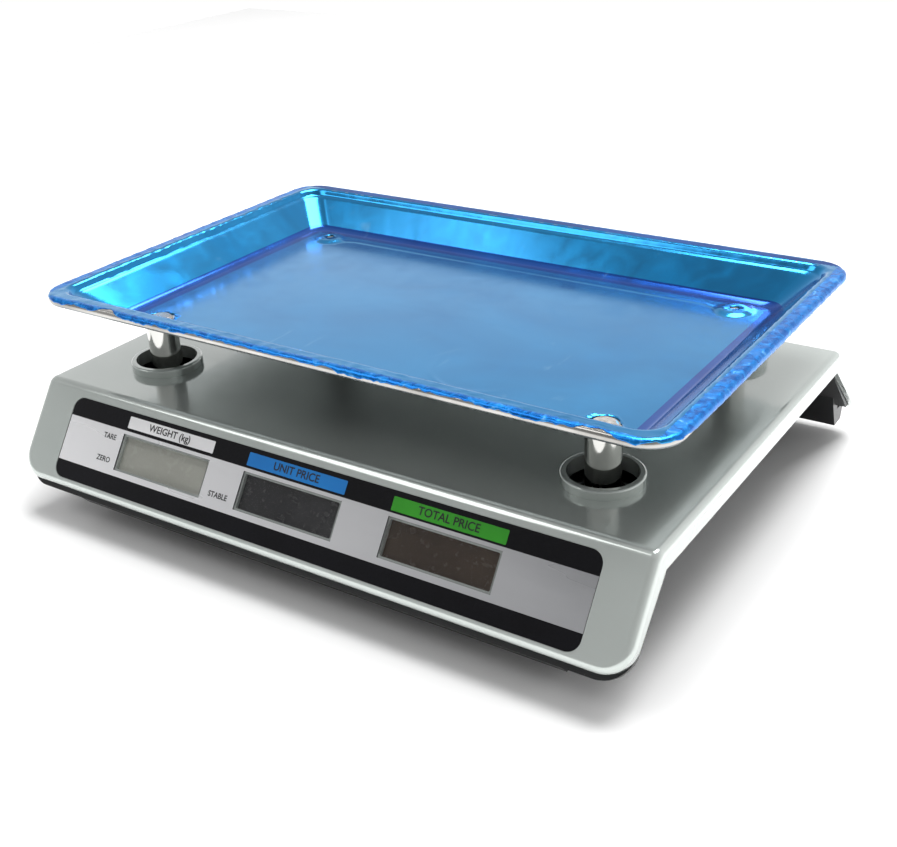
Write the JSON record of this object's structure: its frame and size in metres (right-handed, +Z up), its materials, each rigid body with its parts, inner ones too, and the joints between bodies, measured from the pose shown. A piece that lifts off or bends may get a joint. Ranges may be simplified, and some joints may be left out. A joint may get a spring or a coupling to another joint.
{
  "type": "retail price scale",
  "caption": "Counter-top price-computing scale: a wedge-ended body with a customer display panel and a keypad panel, carrying a lift-off rectangular weighing tray on posts.",
  "frame": {"origin": "on the counter, below the middle of the object's bounding box", "axes": "+Z up, -Y towards the customer's display panel, +Y towards the operator's keypad, +X along the width"},
  "size_m": [0.332, 0.2791, 0.1053],
  "materials": {
    "base_plastic": "black moulded plastic, fine satin texture",
    "battery_case": "moulded battery case",
    "blue_film": "clear blue protective film, glossy, over steel",
    "board_laminate": "green circuit laminate",
    "cable_jacket": "soft cable jacket",
    "cast_alloy": "pressure die casting",
    "cell_aluminium": "machined and anodised",
    "component_plastic": "moulded component bodies",
    "cover_plastic": "silver-grey metallic lacquer on plastic, glossy",
    "fascia_print": "printed polyester film, black and silver, glossy",
    "foot_plastic": "black moulded wheel on a steel stud",
    "foot_rubber": "black rubber",
    "insert_brass": "turned brass",
    "key_plastic": "grey moulded keys, satin",
    "keypad_print": "printed polyester film",
    "lcd_glass": "display module, glass front",
    "mat_rubber": "moulded silicone rubber",
    "post_chrome": "polished tube",
    "rivet_steel": "polished stainless",
    "rocker_plastic": "glossy black plastic",
    "screw_steel": "plated steel",
    "tray_steel": "polished stainless sheet",
    "vial_acrylic": "clear acrylic vial with yellow-green liquid",
    "window_clear": "tinted clear film",
    "zinc_steel": "zinc-plated steel plate"
  },
  "bodies": {
    "base": {"base_tub": "base_plastic", "top_cover": "cover_plastic", "bearing_plate": "zinc_steel", "lower_cell_screws": "screw_steel", "load_cell": "cell_aluminium", "overload_stops": "screw_steel", "foot_inserts": "insert_brass", "cover_screws": "screw_steel", "customer_overlay": "fascia_print", "customer_windows": "window_clear", "customer_lcds": "lcd_glass", "customer_board": "board_laminate", "operator_overlay": "keypad_print", "operator_windows": "window_clear", "operator_lcds": "lcd_glass", "operator_board": "board_laminate", "keypad_mat": "mat_rubber", "main_board": "board_laminate", "board_parts": "component_plastic", "battery": "battery_case", "switch_housing": "base_plastic", "charge_inlet": "base_plastic", "spirit_level": "vial_acrylic", "load_cell_cable": "cable_jacket", "wiring_loom": "cable_jacket"},
    "platform": {"load_spider": "cast_alloy", "post_bushes": "mat_rubber", "upper_spacer": "cell_aluminium", "upper_cell_screws": "screw_steel"},
    "tray": {"weighing_tray": "tray_steel", "protective_film": "blue_film", "tray_posts": "post_chrome", "tray_rivets": "rivet_steel"},
    "battery_door": {"battery_door": "base_plastic"},
    "power_rocker": {"power_rocker": "rocker_plastic"},
    "key_01": {"key_01": "key_plastic"},
    "key_02": {"key_02": "key_plastic"},
    "key_03": {"key_03": "key_plastic"},
    "key_04": {"key_04": "key_plastic"},
    "key_05": {"key_05": "key_plastic"},
    "key_06": {"key_06": "key_plastic"},
    "key_07": {"key_07": "key_plastic"},
    "key_08": {"key_08": "key_plastic"},
    "key_09": {"key_09": "key_plastic"},
    "key_10": {"key_10": "key_plastic"},
    "key_11": {"key_11": "key_plastic"},
    "key_12": {"key_12": "key_plastic"},
    "key_13": {"key_13": "key_plastic"},
    "key_14": {"key_14": "key_plastic"},
    "key_15": {"key_15": "key_plastic"},
    "key_16": {"key_16": "key_plastic"},
    "foot_pad_front_left": {"foot_pad_front_left": "foot_rubber"},
    "foot_screw_front_left": {"foot_screw_front_left": "foot_plastic"},
    "foot_pad_front_right": {"foot_pad_front_right": "foot_rubber"},
    "foot_screw_front_right": {"foot_screw_front_right": "foot_plastic"},
    "foot_pad_rear_left": {"foot_pad_rear_left": "foot_rubber"},
    "foot_screw_rear_left": {"foot_screw_rear_left": "foot_plastic"},
    "foot_pad_rear_right": {"foot_pad_rear_right": "foot_rubber"},
    "foot_screw_rear_right": {"foot_screw_rear_right": "foot_plastic"}
  },
  "joints": [
    {"name": "platform_travel", "type": "slide", "parent": "base", "child": "platform", "axis": [0, 0, 1], "range_m": [-0.0006, 0], "stiffness_N_per_m": 200000, "deforming": ["load_cell"]},
    {"name": "tray_lift", "type": "slide", "parent": "platform", "child": "tray", "axis": [0, 0, 1], "range_m": [0, 0.045]},
    {"name": "battery_door_hinge", "type": "hinge", "parent": "base", "child": "battery_door", "pos_m": [-0.053, 0.04805, 0.00905], "axis": [1, 0, 0], "range_deg": [-100, 0]},
    {"name": "power_rocker_tilt", "type": "hinge", "parent": "base", "child": "power_rocker", "pos_m": [-0.105, -0.04, 0.0175], "axis": [0, 0, 1], "range_deg": [-14, 0]},
    {"name": "key_01_press", "type": "slide", "parent": "base", "child": "key_01", "axis": [0, -0.7148, -0.6994], "range_m": [0, 0.001], "stiffness_N_per_m": 400, "springref_m": -0.0003},
    {"name": "key_02_press", "type": "slide", "parent": "base", "child": "key_02", "axis": [0, -0.7148, -0.6994], "range_m": [0, 0.001], "stiffness_N_per_m": 400, "springref_m": -0.0003},
    {"name": "key_03_press", "type": "slide", "parent": "base", "child": "key_03", "axis": [0, -0.7148, -0.6994], "range_m": [0, 0.001], "stiffness_N_per_m": 400, "springref_m": -0.0003},
    {"name": "key_04_press", "type": "slide", "parent": "base", "child": "key_04", "axis": [0, -0.7148, -0.6994], "range_m": [0, 0.001], "stiffness_N_per_m": 400, "springref_m": -0.0003},
    {"name": "key_05_press", "type": "slide", "parent": "base", "child": "key_05", "axis": [0, -0.7148, -0.6994], "range_m": [0, 0.001], "stiffness_N_per_m": 400, "springref_m": -0.0003},
    {"name": "key_06_press", "type": "slide", "parent": "base", "child": "key_06", "axis": [0, -0.7148, -0.6994], "range_m": [0, 0.001], "stiffness_N_per_m": 400, "springref_m": -0.0003},
    {"name": "key_07_press", "type": "slide", "parent": "base", "child": "key_07", "axis": [0, -0.7148, -0.6994], "range_m": [0, 0.001], "stiffness_N_per_m": 400, "springref_m": -0.0003},
    {"name": "key_08_press", "type": "slide", "parent": "base", "child": "key_08", "axis": [0, -0.7148, -0.6994], "range_m": [0, 0.001], "stiffness_N_per_m": 400, "springref_m": -0.0003},
    {"name": "key_09_press", "type": "slide", "parent": "base", "child": "key_09", "axis": [0, -0.7148, -0.6994], "range_m": [0, 0.001], "stiffness_N_per_m": 400, "springref_m": -0.0003},
    {"name": "key_10_press", "type": "slide", "parent": "base", "child": "key_10", "axis": [0, -0.7148, -0.6994], "range_m": [0, 0.001], "stiffness_N_per_m": 400, "springref_m": -0.0003},
    {"name": "key_11_press", "type": "slide", "parent": "base", "child": "key_11", "axis": [0, -0.7148, -0.6994], "range_m": [0, 0.001], "stiffness_N_per_m": 400, "springref_m": -0.0003},
    {"name": "key_12_press", "type": "slide", "parent": "base", "child": "key_12", "axis": [0, -0.7148, -0.6994], "range_m": [0, 0.001], "stiffness_N_per_m": 400, "springref_m": -0.0003},
    {"name": "key_13_press", "type": "slide", "parent": "base", "child": "key_13", "axis": [0, -0.7148, -0.6994], "range_m": [0, 0.001], "stiffness_N_per_m": 400, "springref_m": -0.0003},
    {"name": "key_14_press", "type": "slide", "parent": "base", "child": "key_14", "axis": [0, -0.7148, -0.6994], "range_m": [0, 0.001], "stiffness_N_per_m": 400, "springref_m": -0.0003},
    {"name": "key_15_press", "type": "slide", "parent": "base", "child": "key_15", "axis": [0, -0.7148, -0.6994], "range_m": [0, 0.001], "stiffness_N_per_m": 400, "springref_m": -0.0003},
    {"name": "key_16_press", "type": "slide", "parent": "base", "child": "key_16", "axis": [0, -0.7148, -0.6994], "range_m": [0, 0.001], "stiffness_N_per_m": 400, "springref_m": -0.0003},
    {"name": "foot_travel_front_left", "type": "slide", "parent": "base", "child": "foot_pad_front_left", "axis": [0, 0, -1], "range_m": [0, 0.005]},
    {"name": "foot_turn_front_left", "type": "hinge", "parent": "foot_pad_front_left", "child": "foot_screw_front_left", "pos_m": [-0.094, -0.094, 0.005], "axis": [0, 0, 1], "range_deg": [0, 1440]},
    {"name": "foot_travel_front_right", "type": "slide", "parent": "base", "child": "foot_pad_front_right", "axis": [0, 0, -1], "range_m": [0, 0.005]},
    {"name": "foot_turn_front_right", "type": "hinge", "parent": "foot_pad_front_right", "child": "foot_screw_front_right", "pos_m": [0.094, -0.094, 0.005], "axis": [0, 0, 1], "range_deg": [0, 1440]},
    {"name": "foot_travel_rear_left", "type": "slide", "parent": "base", "child": "foot_pad_rear_left", "axis": [0, 0, -1], "range_m": [0, 0.005]},
    {"name": "foot_turn_rear_left", "type": "hinge", "parent": "foot_pad_rear_left", "child": "foot_screw_rear_left", "pos_m": [-0.094, 0.102, 0.005], "axis": [0, 0, 1], "range_deg": [0, 1440]},
    {"name": "foot_travel_rear_right", "type": "slide", "parent": "base", "child": "foot_pad_rear_right", "axis": [0, 0, -1], "range_m": [0, 0.005]},
    {"name": "foot_turn_rear_right", "type": "hinge", "parent": "foot_pad_rear_right", "child": "foot_screw_rear_right", "pos_m": [0.094, 0.102, 0.005], "axis": [0, 0, 1], "range_deg": [0, 1440]}
  ],
  "couplings": [
    {"joint": "foot_travel_front_left", "follows": "foot_turn_front_left", "m_per_rad": 0.00019894},
    {"joint": "foot_travel_front_right", "follows": "foot_turn_front_right", "m_per_rad": 0.00019894},
    {"joint": "foot_travel_rear_left", "follows": "foot_turn_rear_left", "m_per_rad": 0.00019894},
    {"joint": "foot_travel_rear_right", "follows": "foot_turn_rear_right", "m_per_rad": 0.00019894}
  ]
}
